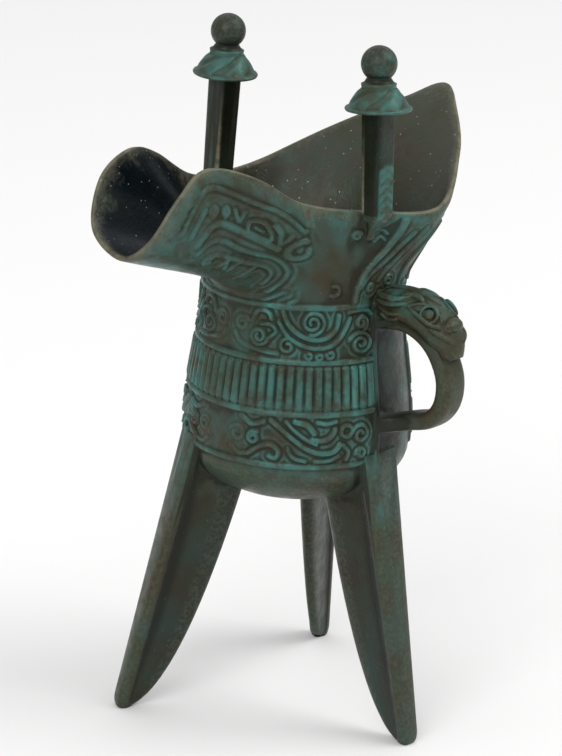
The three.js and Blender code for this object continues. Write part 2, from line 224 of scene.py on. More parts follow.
def flare(station, share):
    """The wall above the waist: stations go round the rim, shares from the waist up to it."""
    rim = catmull_rom(rim_loop, station, True)
    guide = catmull_rom(guide_loop, station, True)
    waist = polar(WAIST_RADIUS, np.degrees(np.arctan2(guide[..., 1], guide[..., 0])), WAIST_Z)
    run = rim - waist
    level = np.linalg.norm(run[..., :2], axis=-1, keepdims=True)
    climb = np.radians(guide[..., 2:])
    arrival = np.concatenate([run[..., :2] / level * np.cos(climb), np.sin(climb)], -1)
    rise = run * (0, 0, FLARE_START)
    reach = FLARE_END * np.linalg.norm(run, axis=-1, keepdims=True)
    return bezier(np.stack([waist, waist + rise, rim - arrival * reach, rim], -2), share)


def station_of(bearing):
    """The station whose wall rises from a bearing of the waist."""
    table = np.linspace(0, STATIONS / 2, 2000)
    guide = catmull_rom(guide_loop, table, True)
    bearings = np.degrees(np.arctan2(np.abs(guide[:, 1]), guide[:, 0]))
    found = np.interp(np.abs(bearing), bearings, table)
    return np.where(bearing < 0, STATIONS - found, found) % STATIONS


# Strokes of the ornament
def spline(points, steps=8):
    return catmull_rom(points, np.linspace(0, len(points) - 1, steps * (len(points) - 1) + 1))


def curl(x, y, start, end, angle, turn, squash=1):
    share = np.linspace(0, 1, max(8, abs(turn) // 14))
    radius = start + (end - start) * share
    angles = np.radians(angle + turn * share)
    return np.stack([x + radius * np.cos(angles), y + squash * radius * np.sin(angles)], -1)


def distance(places, line):
    """How far each place is from a line of points, in the plane of both."""
    nearest = np.full(len(places), 1e9)
    for a, b in zip(line[:-1], line[1:]):
        along = b - a
        share = np.clip(((places - a) @ along) / max(along @ along, 1e-12), 0, 1)
        gap = places - a - share[:, None] * along
        nearest = np.minimum(nearest, np.einsum("ij,ij->i", gap, gap))
    return np.sqrt(nearest)


def carve(places, strokes, echoes):
    """Height of raised strokes, each (width, line), with thin lines that echo them around."""
    height = np.zeros(len(places))
    clear = np.full(len(places), 1e9)
    for width, line in strokes:
        gap = distance(places, line) - width / 2
        height = np.maximum(height, STROKE_HEIGHT * smoothstep(SOFT_EDGE, -SOFT_EDGE, gap))
        clear = np.minimum(clear, gap)
    for k in range(1, echoes + 1):
        ring = np.abs(clear - k * ECHO_PITCH)
        height = np.maximum(height, ECHO_HEIGHT * smoothstep(0.45, 0.1, ring))
    return height


# In millimetres along and up from the middle of a panel
UPPER_STROKES = [
    (1.0, curl(2.2, 3.6, 3.5, 0.7, -100, 680)),
    (1.2, spline([(-6.2, 6.2), (-4.4, 2.6), (-1.2, 0), (2.6, -1.2), (6.4, -0.6), (8.8, 1.8), (9.6, 5.4)])),
    (1.1, spline([(-7.4, 3.6), (-4.2, -0.8), (0.6, -3.2), (5.2, -3.6), (8.8, -2.2), (11.2, 0.8), (13, 4.6)])),
    (1.0, curl(16.6, -2.8, 3.8, 0.8, 160, -640, 0.86)),
    (0.9, curl(16.8, 3, 2.1, 0.6, -60, 480)),
    (0.9, spline([(12.6, 6.2), (15.4, 6.6), (18.4, 6.4), (20.4, 5)])),
    (1.0, curl(-4.6, -3.2, 2.4, 0.7, 40, 420)),
    (1.0, curl(-12.9, -1.2, 2.7, 0.7, -20, -560)),
    (0.9, spline([(-10.4, -1.8), (-8, 0.6), (-9.6, 2.4), (-12.4, 2.2)])),
    (1.1, spline([(-15.2, 3), (-13.4, 6), (-10.4, 5.8), (-9.4, 4)])),
    (0.8, curl(1.4, -5.6, 1.1, 0.5, 180, 300)),
    (0.8, curl(4.4, -5.9, 1.0, 0.5, 180, 300)),
    (0.8, curl(7.4, -5.4, 1.2, 0.5, 180, 300)),
    (0.9, curl(-18.4, 1.6, 2.2, 0.6, 30, 480)),
    (0.9, spline([(-20.6, -1.4), (-18.8, -3.6), (-15.8, -4.6), (-11, -5.4), (-7.4, -5.6)])),
]
LOWER_STROKES = [
    (1.3, spline([(-8.6, 5.6), (-5.1, 3), (-1.7, 0.4), (1.4, -1.8), (5.1, -3.4), (9.4, -3.2), (11.4, -1)])),
    (0.9, spline([(-4.2, 5.4), (-1.2, 2.6), (1.8, 0.4), (4.6, -0.8)])),
    (1.5, spline([(-1.6, 5.6), (1.8, 4.6), (3.8, 2.4)])),
    (1.2, spline([(3.4, 0.8), (5.6, 0.2), (8.4, 1), (10, 3.4)])),
    (0.9, spline([(4.8, 5.4), (7.6, 5), (10.2, 5.6)])),
    (0.9, curl(13.4, 2.6, 1.7, 1.6, 0, 360)),
    (1.0, curl(17.8, 1.4, 2.9, 0.7, 170, -520)),
    (0.9, curl(18, -4.2, 1.7, 0.6, 180, -400)),
    (1.0, spline([(12.4, -1.4), (14, -3.4), (13.4, -5.6)])),
    (1.2, spline([(-17.6, 5.6), (-14.2, 3.8), (-10.6, 4.8)])),
    (1.0, curl(-13.4, 0, 1.9, 0.6, 60, 460)),
    (1.2, spline([(-14.8, -4.8), (-11.2, -2.2), (-8, -1.6), (-6, -3.2), (-6.8, -5.2), (-8.6, -4.8)])),
    (0.9, spline([(-3.4, -2.4), (-1.8, -4.8), (1.6, -5.8)])),
    (0.9, spline([(4.4, -5.8), (8.4, -5.6), (11, -4.4)])),
    (0.9, curl(-18.6, 0.4, 2.3, 0.6, 150, -480)),
    (0.9, spline([(-20.4, -3.4), (-18, -5.2), (-15.6, -5)])),
]
# Bearing of each panel's middle, where it starts and ends, and which way round it lies
PANELS = [(-136, -179, -94.5, 1), (136, 94, 179, -1), (47, 1, 94, 1), (-27, -52.5, 1, -1)]

# On the side of the spout, in X and Z
SPOUT_STROKES = [
    (2.4, spline([(-64.5, 154), (-62.6, 159.6), (-59.4, 164.6), (-55, 166), (-49, 164), (-42, 160.6),
                  (-36, 158), (-30, 154.4), (-25.4, 150.6)])),
    (1.7, spline([(-57.4, 149.4), (-54.8, 153.4), (-51.6, 155), (-47, 153.4), (-41, 150.4), (-35, 147.4),
                  (-30.6, 145)])),
    (1.0, spline([(-56.4, 146.4), (-53, 149.6), (-49, 149.6), (-43, 146.6), (-37, 144.2), (-31.4, 142.6),
                  (-28, 140.4), (-26, 137.8), (-26.2, 134.6), (-27.6, 131.4)])),
    (0.9, spline([(-50, 145.6), (-45, 144), (-38.6, 141.6), (-32.4, 139.8), (-29.4, 137.2), (-30, 134)])),
    (1.2, spline([(-60.4, 152), (-58.8, 156.4), (-57.4, 159.6)])),
    (1.0, curl(-54.4, 159, 1.5, 0.6, -90, 420)),
    (1.0, curl(-50, 158.2, 1.4, 0.6, -90, 420)),
    (1.0, spline([(-46.6, 158.2), (-44.8, 154.8), (-43.2, 157.2)])),
    (1.0, spline([(-41.6, 151.6), (-40.8, 154.2), (-37.2, 153.4), (-34.4, 150.4), (-33.4, 147.9),
                  (-36.8, 149.2), (-41.6, 151.6)])),
    (0.8, spline([(-39, 152.2), (-36.4, 150.8)])),
    (1.0, spline([(-34.2, 152.4), (-32, 149.8), (-30.6, 146.6), (-29.2, 149.2)])),
    (1.5, curl(-25.6, 144.4, 3.1, 1.9, 70, 300)),
    (0.9, spline([(-40.2, 142.6), (-43, 139.8)])),
    (0.9, spline([(-35, 140), (-38.4, 136.6)])),
    (0.9, spline([(-47, 141.4), (-45, 143), (-44.6, 140.6)])),
    (0.9, curl(-51.6, 144, 1.5, 0.5, 20, 420)),
    (0.9, spline([(-25, 131.2), (-27, 128.6)])),
    (0.9, spline([(-22, 131.4), (-22, 129.4), (-23.6, 128)])),
]
SPOUT_MARKS = [
    (0.7, spline([(-4.6, 150.8), (-2.5, 149.4), (-0.4, 150.8)])),
    (0.7, spline([(-4.6, 147.2), (-2.5, 148.6), (-0.4, 147.2)])),
    (0.7, spline([(-4.2, 145.4), (-2.5, 146.6), (-0.8, 145.4)])),
    (0.9, curl(-14.8, 131.9, 1.5, 1.4, -110, 210)),
    (1.0, curl(-9.8, 147.6, 1.4, 0.5, 20, 420)),
]
# On the tail, in bearing and Z
PLUME_EDGE = [
    (-110, 129), (-108.6, 132.2), (-103.6, 137), (-96.4, 140.6), (-91.3, 143.2), (-86.4, 147.6),
    (-84.4, 153),
]
TAIL_SPREAD = 34
PLUMES = [
    (1.2, [(-104.7, 132.4), (-100.1, 135.3), (-93.5, 137.8), (-87.2, 140.3), (-82.6, 143), (-77, 147)]),
    (1.0, [(-93, 133.6), (-88, 136.8), (-83.2, 138.8), (-78.1, 142.4), (-71, 148)]),
    (1.0, [(-75, 130.4), (-75, 134.4), (-72.4, 138.6), (-68, 142.4), (-60, 148.6)]),
    (1.0, [(-64, 130), (-63, 136), (-58, 142), (-49, 150)]),
    (1.0, [(-52, 130), (-50, 137), (-44, 145), (-35, 154)]),
    (1.0, [(-38, 130), (-36, 139), (-30, 148), (-21, 159)]),
    (1.0, [(-24, 130), (-22, 140), (-17, 150), (-9, 163)]),
    (1.0, [(-9, 130), (-8, 142), (-5, 154), (0, 166)]),
]
PLUME_CURLS = [(-85.3, 133.2, 1.9), (-98.6, 132, 1.2), (-68.6, 130.8, 1.3)]


def raised_line(gap):
    """Height of a border line at a gap from its middle."""
    return LINE_HEIGHT * smoothstep(LINE_WIDTH / 2 + SOFT_EDGE, LINE_WIDTH / 2 - SOFT_EDGE, gap)


def between(low, high, value, start, full):
    """0 at both ends of a span and beyond, rising from one inset to 1 at the next."""
    return smoothstep(low + start, low + full, value) * smoothstep(high - start, high - full, value)


def wall_relief(bearing, z):
    """How far the wall of the bowl stands out from its plain form."""
    bearing = (bearing + 180) % 360 - 180
    height = np.zeros(len(z))
    plain = (bearing > PLAIN_FROM) & (bearing < PLAIN_TO)
    for (low, high), strokes in ((LOWER_BAND, LOWER_STROKES), (UPPER_BAND, UPPER_STROKES)):
        middle = (low + high) / 2
        for centre, start, end, hand in PANELS:
            inside = (bearing >= start) & (bearing <= end) & (z > low - 1) & (z < high + 1)
            across = hand * np.radians(bearing[inside] - centre) * wall_radius(middle)
            carved = carve(np.stack([across, z[inside] - middle], -1), strokes, 1)
            fade = between(low, high, z[inside], 0.3, 1.2)
            sound = smoothstep(WORN_FROM + 4, WORN_FROM - 4, np.abs(bearing[inside]))
            height[inside] = carved * fade * (FRONT_WEAR + (1 - FRONT_WEAR) * sound)
    for line in (*LOWER_BAND, *UPPER_BAND):
        height = np.maximum(height, raised_line(np.abs(z - line)))
    share = np.abs((bearing / RIB_PITCH) % 1 - 0.5) * 2
    ends = between(LOWER_BAND[1], UPPER_BAND[0], z, 1, 1.9)
    height = np.maximum(height, RIB_HEIGHT * smoothstep(0.92, 0.42, share) * ends)
    border = np.minimum(np.abs(bearing - PLAIN_FROM), np.abs(bearing - PLAIN_TO))
    in_bands = (z > LOWER_BAND[0]) & (z < UPPER_BAND[1])
    height[plain] = 0
    return np.maximum(height, LINE_HEIGHT * smoothstep(1.9, 1.0, border) * in_bands)


def flare_relief(place, normal):
    """How far the wall above the waist stands out, on both sides alike."""
    height = np.zeros(len(place))
    x, y, z = place[:, 0], np.abs(place[:, 1]), place[:, 2]
    bearing = -np.degrees(np.arctan2(y, x))
    facing = smoothstep(0.12, 0.4, np.abs(normal[:, 1]))

    spout = x < -8
    seen = np.stack([x, z], -1)[spout]
    frame_line = SPOUT_STROKES[0][1]
    top = np.interp(seen[:, 0], frame_line[:, 0], frame_line[:, 1])
    panel = smoothstep(0.6, -0.6, seen[:, 1] - top) * smoothstep(-21.6, -23.4, seen[:, 0])
    lines = SPOUT_WEAR * carve(seen, SPOUT_STROKES, 1) * panel
    height[spout] = lines * facing[spout]
    marked = x < 2
    marks = carve(np.stack([x, z], -1)[marked], SPOUT_MARKS, 0) * 0.8
    height[marked] = np.maximum(height[marked], marks * facing[marked])

    edge = np.array(PLUME_EDGE, float)
    past = np.radians(bearing - np.interp(z, edge[:, 1], edge[:, 0])) * TAIL_SPREAD
    plume = (past > -2) & (z > WAIST_Z)
    spread = np.stack([np.radians(bearing) * TAIL_SPREAD, z], -1)[plume]
    to_plane = np.array([np.radians(1) * TAIL_SPREAD, 1])
    strokes = [(width, spline(np.array(points) * to_plane)) for width, points in PLUMES]
    strokes.append((1.9, spline((edge + (2, 0)) * to_plane)))
    for at, level, radius in PLUME_CURLS:
        strokes.append((0.8, curl(at * to_plane[0], level, radius, 0.5, 0, 500)))
    carved = 0.55 + 0.7 * carve(spread, strokes, 1)
    rim_fade = smoothstep(3.4, 1.6, z[plume] - (150 + 0.52 * np.maximum(x[plume] - 10, 0)))
    carved *= smoothstep(-0.1, 0.4, past[plume]) * rim_fade
    height[plume] = np.maximum(height[plume], carved)

    held = (bearing > PLAIN_FROM) & (bearing < PLAIN_TO) & (place[:, 1] < 0)
    return np.maximum(height, np.where(held, 0, raised_line(z - WAIST_Z)))


# Meshes
def grid_faces(rows, columns):
    row = np.arange(rows - 1)[:, None] * columns
    column = np.arange(columns)[None, :]
    ahead = (column + 1) % columns
    quads = np.stack([row + column, row + ahead, row + columns + ahead, row + columns + column], -1)
    return quads.reshape(-1, 4)


def make_mesh(name, vertices, faces):
    mesh = bpy.data.meshes.new(name)
    place = (np.asarray(vertices, float) + AXIS) / METRE
    mesh.from_pydata(place.tolist(), [], faces)
    mesh.validate()
    made = bpy.data.objects.new(name, mesh)
    bpy.context.scene.collection.objects.link(made)
    return made


def loft(name, sections, poles=False):
    """A closed skin over rings of points. The ends are capped, or shrink to their middles."""
    sections = np.asarray(sections, float)
    rows, columns = sections.shape[:2]
    faces = grid_faces(rows, columns).tolist()
    vertices = sections.reshape(-1, 3)
    if not poles:
        faces.append(list(range(columns))[::-1])
        faces.append([(rows - 1) * columns + k for k in range(columns)])
        return make_mesh(name, vertices, faces)
    ends = np.stack([sections[0].mean(0), sections[-1].mean(0)])
    first, last = len(vertices), len(vertices) + 1
    for k in range(columns):
        ahead = (k + 1) % columns
        faces.append([first, ahead, k])
        faces.append([last, (rows - 1) * columns + k, (rows - 1) * columns + ahead])
    return make_mesh(name, np.concatenate([vertices, ends]), faces)


def normals_of(rows):
    along = np.roll(rows, -1, 1) - np.roll(rows, 1, 1)
    up = np.gradient(rows, axis=0)
    normal = np.cross(along, up)
    return normal / np.maximum(np.linalg.norm(normal, axis=-1, keepdims=True), 1e-9)


def dome(inset, degrees, bearing):
    """Rings on the round bottom of the bowl, or inset from it, at angles below its widest part."""
    angle = np.radians(degrees)[:, None]
    radius = (BOWL_RADIUS - inset) * np.cos(angle)
    return polar(radius, bearing, BOWL_Z + (BOWL_DEPTH - inset) * np.sin(angle))


def shell():
    """Bowl, spout and tail with their relief, as one wall out to the rim and back inside."""
    bearing = np.arange(COLUMNS) * 360 / COLUMNS
    bearing = np.where(bearing > 180, bearing - 360, bearing)
    station = station_of(bearing)

    bottom = dome(0, np.linspace(-90, 0, BOTTOM_ROWS + 1)[1:-1], bearing)

    z = np.linspace(BOWL_Z, WAIST_Z, WALL_ROWS + 1)[:-1, None] + np.zeros(COLUMNS)
    relief = wall_relief(np.broadcast_to(bearing, z.shape).ravel(), z.ravel()).reshape(z.shape)
    wall = polar(wall_radius(z) + relief, bearing, z)

    share = np.linspace(0, 1, FLARE_ROWS + 1)[:, None] + np.zeros(COLUMNS)
    plain = flare(np.broadcast_to(station, share.shape), share)
    normal = normals_of(plain)
    relief = flare_relief(plain.reshape(-1, 3), normal.reshape(-1, 3)).reshape(share.shape)
    thickness = WALL + (RIM_WALL - WALL) * share
    calm = smoothstep(1, 0.96, share)
    outside = plain + normal * (relief * calm)[..., None]
    lining = plain - normal * thickness[..., None]
    lip_out = plain[-1] - normal[-1] * RIM_WALL * 0.25
    lip_in = plain[-1] - normal[-1] * RIM_WALL * 0.75
    rise = np.gradient(plain, axis=0)[-1]
    rise *= 0.35 * RIM_WALL / np.linalg.norm(rise, axis=-1, keepdims=True)

    inner_z = np.linspace(WAIST_Z, BOWL_Z, 14)[1:-1, None]
    inner_wall = polar(wall_radius(inner_z) - WALL, bearing, inner_z)
    floor = dome(WALL, np.linspace(0, -90, BOTTOM_ROWS)[:-1], bearing)
    lips = np.stack([lip_out + rise, lip_in + rise])
    rows = [bottom, wall, outside, lips, lining[::-LINING_STEP], inner_wall, floor]
    return loft("cast_vessel", np.concatenate(rows), poles=True)


def chaikin(ring, rounds=2):
    """A ring of points with its corners cut, each cut a quarter of the side."""
    for _ in range(rounds):
        ahead = np.roll(ring, -1, 0)
        cuts = [0.75 * ring + 0.25 * ahead, 0.25 * ring + 0.75 * ahead]
        ring = np.stack(cuts, 1).reshape(-1, ring.shape[1])
    return ring


def leg(bearing, foot, slimming):
    """A blade leg: a strip along its outer edge, a web behind it and a ridge inside."""
    foot_rows = np.linspace(0, 1, 9) ** 2 * FOOT_ROUNDING_Z
    leg_rows = np.linspace(FOOT_ROUNDING_Z, LEG_END_Z, LEG_ROWS)
    heights = np.unique(np.concatenate([foot_rows, leg_rows]))
    sections = []
    for z in heights:
        round_off = (1 - math.sqrt(max(0, 1 - max(0, 1 - z / FOOT_ROUNDING_Z) ** 2))) * FOOT_ROUNDING
        outer = foot + (LEG_TOP - foot) * z / LEG_TOP_Z - round_off
        ridge = RIDGE_TOP_RADIUS + RIDGE_REACH * (1 - (z / RIDGE_TOP_Z) ** RIDGE_POWER)
        if z > RIDGE_TOP_Z:
            ridge = RIDGE_TOP_RADIUS + RIDGE_ROOT_SLOPE * (z - RIDGE_TOP_Z)
        inner = min(ridge + slimming, outer - FOOT_DEPTH)
        half = (STRIP_FOOT_WIDTH + STRIP_WIDENING * z - round_off) / 2
        shoulder = outer - min(STRIP_DEPTH, (outer - inner) / 2)
        web = shoulder + (inner - shoulder) * 0.55
        side = np.array([
            (inner, 0.36), (web, 0.58), (shoulder - 0.9, 0.72), (shoulder, 1.02), (outer - 0.8, 1.02),
            (outer + 0.1, 0.6),
        ])
        near = side * (1, -half)
        far = side[::-1] * (1, half)
        ring = chaikin(np.concatenate([near, far]))
        sections.append(polar(ring[:, 0], bearing, z, ring[:, 1]))
    return loft("leg", sections)


def superellipse(count, power):
    angle = np.linspace(0, 2 * np.pi, count, endpoint=False)
    c, s = np.cos(angle), np.sin(angle)
    return np.stack([np.sign(c) * np.abs(c) ** power, np.sign(s) * np.abs(s) ** power], -1)


def swept(name, path, widths, heights, steps, sides, power):
    """A bar along a path of radius and height, on the handle's bearing."""
    station = np.linspace(0, len(path) - 1, steps)
    middle = catmull_rom(path, station)
    along = np.gradient(middle, axis=0)
    along /= np.linalg.norm(along, axis=1, keepdims=True)
    width = catmull_rom(np.array(widths, float)[:, None], station)[:, 0]
    tall = catmull_rom(np.array(heights, float)[:, None], station)[:, 0]
    outline = superellipse(sides, power)
    side = outline[None, :, 0] * width[:, None] / 2
    up = outline[None, :, 1] * tall[:, None] / 2
    radius = middle[:, None, 0] - along[:, None, 1] * up
    z = middle[:, None, 1] + along[:, None, 0] * up
    return loft(name, polar(radius, HANDLE_BEARING, z, side))


def on_head(share, angle, hand):
    """A place on the head, and axes there whose Z points out of it. Shares go from the wall to
    the lips, angles up and over from one side; the other hand is its mirror image."""
    station = np.array([share, share + 0.01]) * (len(HEAD_PATH) - 1)
    here, ahead = catmull_rom(HEAD_PATH, station)
    along = (ahead - here) / np.linalg.norm(ahead - here)
    width = catmull_rom(np.array(HEAD_WIDTHS, float)[:, None], station)[0, 0]
    tall = catmull_rom(np.array(HEAD_HEIGHTS, float)[:, None], station)[0, 0]
    c, s = math.cos(math.radians(angle)), math.sin(math.radians(angle))
    side = math.copysign(abs(c) ** HEAD_POWER, c) * hand * width / 2
    up = math.copysign(abs(s) ** HEAD_POWER, s) * tall / 2
    place = polar(here[0] - along[1] * up, HANDLE_BEARING, here[1] + along[0] * up, side)
    out = Vector(place - polar(here[0], HANDLE_BEARING, here[1])).normalized()
    forward = Vector(polar(along[0], HANDLE_BEARING, along[1]))
    forward = (forward - out * forward.dot(out)).normalized()
    return place, np.array(Matrix((forward, out.cross(forward), out)).transposed())


def circle(count):
    angle = np.linspace(0, 2 * np.pi, count)
    return np.stack([np.cos(angle), np.sin(angle), 0 * angle], -1)


def ellipsoid(name, centre, radii, turn, rows=10, sides=16):
    climb = np.linspace(-np.pi / 2, np.pi / 2, rows + 2)[1:-1, None]
    around = np.linspace(0, 2 * np.pi, sides, endpoint=False)
    level = np.cos(climb)
    unit = np.stack(np.broadcast_arrays(level * np.cos(around), level * np.sin(around), np.sin(climb)), -1)
    return loft(name, (unit * radii) @ turn.T + centre, poles=True)


def tube(name, points, radii, sides=10):
    """A round bar through points, with a radius at each, that tapers to its ends."""
    points = np.asarray(points, float)
    station = np.linspace(0, len(points) - 1, 6 * (len(points) - 1) + 1)
    middle = catmull_rom(points, station)
    radius = catmull_rom(np.array(radii, float)[:, None], station)
    along = np.gradient(middle, axis=0)
    along /= np.linalg.norm(along, axis=1, keepdims=True)
    across = np.cross(along, (0.31, 0.47, 0.83))
    across /= np.linalg.norm(across, axis=1, keepdims=True)
    up = np.cross(along, across)
    angle = np.linspace(0, 2 * np.pi, sides, endpoint=False)[None, :, None]
    out = across[:, None] * np.cos(angle) + up[:, None] * np.sin(angle)
    return loft(name, middle[:, None] + radius[:, None] * out)


def handle():
    """The strap with the animal's head on its upper arm."""
    count = len(STRAP_PATH)
    widths, heights = [STRAP_WIDTH] * count, [STRAP_THICKNESS] * count
    strap = swept("strap", STRAP_PATH, widths, heights, 72, 36, STRAP_POWER)
    head = swept("head", HEAD_PATH, HEAD_WIDTHS, HEAD_HEIGHTS, 60, 40, HEAD_POWER)
    pieces = [head]
    for hand in (1, -1):
        eye, turn = on_head(*EYE, hand)
        pieces.append(ellipsoid("eye", eye, (1.45, 1.45, 0.9), turn))
        pieces.append(ring_tube("eyelid", eye, EYE_RING * circle(25) @ turn.T, 0.5))
        nostril, turn = on_head(*NOSTRIL, hand)
        pieces.append(ring_tube("nostril", nostril, NOSTRIL_RING * circle(17) @ turn.T, 0.6))
        for name, radii, path in HEAD_RIDGES:
            line = [on_head(share, angle, hand)[0] for share, angle in path]
            pieces.append(tube(name, line, radii))
    crest = [on_head(share, 90, 1)[0] for share in (0.06, 0.2, 0.33, 0.43, 0.53)]
    pieces.append(tube("crest", crest, [0.4, 0.9, 1.1, 0.9, 0.4]))
    tip, turn = on_head(0.69, 90, 1)
    pieces.append(ellipsoid("snout", tip, (2.2, 3.4, 1.5), turn))
    return [strap, *pieces]


def ring_tube(name, centre, loop, thickness, sides=8):
    """A closed ring of round section about a centre."""
    loop = loop[:-1]
    out = loop / np.linalg.norm(loop, axis=1, keepdims=True)
    axis = np.cross(loop[0], loop[1])
    axis /= np.linalg.norm(axis)
    angle = np.linspace(0, 2 * np.pi, sides, endpoint=False)[None, :, None]
    rings = centre + loop[:, None] + thickness * (out[:, None] * np.cos(angle) + axis * np.sin(angle))
    rows, columns = rings.shape[:2]
    closed = np.concatenate([rings, rings[:1]])
    faces = grid_faces(rows + 1, columns) % (rows * columns)
    return make_mesh(name, closed[:-1].reshape(-1, 3), faces[:, ::-1].tolist())


def post(hand):
    """A square post with scales on its faces, and its cap and knob, leaning in."""
    lean = math.tan(math.radians(POST_LEAN))

    def axis_at(z):
        return np.stack(np.broadcast_arrays(POST_X, hand * (POST_Y - lean * (z - POST_Z)), z), -1)

    z = np.linspace(POST_FOOT_Z, CAP_Z + 2 * CAP_THICKNESS, 110)
    outline = superellipse(48, 0.42)
    side = np.interp(z, [z[0], z[-1]], [POST_FOOT_SIDE, POST_TOP_SIDE])[:, None]
    across = np.where(np.abs(outline[:, 0]) > np.abs(outline[:, 1]), outline[:, 1], outline[:, 0])
    chevron = np.cos(2 * np.pi * (z[:, None] / 2.6 + np.abs(across) * 0.9))
    cut = 0.3 * smoothstep(0.1, 0.7, chevron) * smoothstep(0.85, 0.6, np.abs(across))
    cut *= smoothstep(170, 162, z)[:, None] * (hand * outline[None, :, 1] > 0.9)
    half = side / 2 - cut
    shaft = np.zeros((len(z), len(outline), 3))
    shaft[..., :2] = outline[None] * half[..., None]
    root = smoothstep(POST_ROOT_Z, POST_FOOT_Z, z)
    shaft *= (1 - 0.4 * root)[:, None, None]
    shaft = shaft + axis_at(z)[:, None] - np.stack([0 * z, hand * POST_ROOT_IN * root, 0 * z], -1)[:, None]

    profile = [
        (0.01, CAP_Z + 0.8), (COLLAR_RADIUS, CAP_Z + 0.6), (CAP_RADIUS - 0.9, CAP_Z),
        (CAP_RADIUS - 0.2, CAP_Z + 0.15), (CAP_RADIUS, CAP_Z + 0.6),
        (CAP_RADIUS - 0.2, CAP_Z + CAP_THICKNESS), (CAP_RADIUS - 0.8, CAP_Z + CAP_THICKNESS + 0.1),
    ]
    cone = np.array([
        (CAP_RADIUS - 0.9, CAP_Z + CAP_THICKNESS + 0.3), (COLLAR_RADIUS + 3.4, CAP_Z + 2.8),
        (COLLAR_RADIUS + 2, CAP_Z + 5), (COLLAR_RADIUS + 0.5, COLLAR_Z - 1.2),
    ])
    profile += bezier(np.broadcast_to(cone, (22, 4, 2)), np.linspace(0, 1, 22)).tolist()
    profile += [
        (COLLAR_RADIUS + 0.5, COLLAR_Z - 0.8), (COLLAR_RADIUS + 0.6, COLLAR_Z - 0.2),
        (COLLAR_RADIUS - 0.2, COLLAR_Z + 0.2),
    ]
    start = math.asin(-math.sqrt(1 - ((COLLAR_RADIUS - 1) / KNOB_RADIUS) ** 2))
    for angle in np.linspace(start, math.pi / 2, 18)[:-1]:
        profile.append((KNOB_RADIUS * math.cos(angle), KNOB_Z + KNOB_RADIUS * math.sin(angle)))
    profile = np.array(profile)
    around = np.linspace(0, 2 * np.pi, 96, endpoint=False)
    on_cone = smoothstep(COLLAR_RADIUS + 0.2, COLLAR_RADIUS + 1, profile[:, 0])
    on_cone *= smoothstep(CAP_Z + 1, CAP_Z + 1.6, profile[:, 1])
    on_cone *= smoothstep(COLLAR_Z - 0.8, COLLAR_Z - 2, profile[:, 1])
    whorl = np.cos(5 * around[None] + 1.6 * profile[:, :1]) * 0.5 + 0.5
    sink = 0.45 * smoothstep(0.5, 0.9, whorl) * on_cone[:, None]
    radius = profile[:, :1] - sink
    cap = np.stack([radius * np.cos(around), radius * np.sin(around), profile[:, 1:] + 0 * around], -1)
    tilt = np.array(Matrix.Rotation(math.radians(hand * POST_LEAN), 3, "X"))
    cap = (cap - (0, 0, CAP_Z)) @ tilt.T + axis_at(np.array(CAP_Z))
    return [loft("post", shaft), loft("cap", cap, poles=True)]


def core():
    """The space inside the bowl and a little of its wall, which no limb reaches into."""
    bearing = np.arange(0, 360, 2.5)
    inset = 0.6 * WALL
    floor = dome(inset, np.linspace(-85, 0, 20), bearing)
    z = np.linspace(BOWL_Z, WAIST_Z + 6, 24)[1:, None]
    wall = polar(wall_radius(np.minimum(z, WAIST_Z)) - inset, bearing, z)
    return loft("core", np.concatenate([floor, wall]), poles=True)


def combine(base, tools, operation="UNION"):
    """Joins closed meshes to the first one, or cuts them from it."""
    for tool in tools:
        join = base.modifiers.new("join", "BOOLEAN")
        join.operation = operation
        join.solver = "MANIFOLD"
        join.object = tool
        apply_modifiers(base)
        mesh = tool.data
        bpy.data.objects.remove(tool)
        bpy.data.meshes.remove(mesh)
    return base


def apply_modifiers(made):
    graph = bpy.context.evaluated_depsgraph_get()
    mesh = bpy.data.meshes.new_from_object(made.evaluated_get(graph))
    old = made.data
    made.modifiers.clear()
    made.data = mesh
    bpy.data.meshes.remove(old)


def build_vessel():
    made = shell()
    limbs = [leg(*facts) for facts in LEGS]
    strap, *face = handle()
    limbs.append(combine(face[0], face[1:]))
    limbs.append(strap)
    for limb in limbs:
        combine(limb, [core()], "DIFFERENCE")
    for hand in (1, -1):
        shaft, cap = post(hand)
        limbs.append(combine(shaft, [cap]))
    combine(made, limbs)
    made.data.calc_loop_triangles()
    thin = made.modifiers.new("thin", "DECIMATE")
    thin.ratio = min(1, MOST_TRIANGLES / len(made.data.loop_triangles))
    apply_modifiers(made)
    return made


def neighbour_mean(values, edges, rounds):
    """Each vertex's value evened out with its neighbours', so many times over."""
    count = len(values)
    first, second = edges[:, 0], edges[:, 1]
    degree = np.bincount(first, minlength=count) + np.bincount(second, minlength=count)
    degree = np.maximum(degree, 1)
    values = values.copy()
    for _ in range(rounds):
        for axis in range(values.shape[1]):
            column = values[:, axis]
            total = np.bincount(first, column[second], count) + np.bincount(second, column[first], count)
            values[:, axis] = 0.4 * column + 0.6 * total / degree
    return values


def nearest_gap(places, samples):
    tree = kdtree.KDTree(len(samples))
    for k, sample in enumerate(samples):
        tree.insert(sample, k)
    tree.balance()
    return np.array([tree.find(place)[2] for place in places])


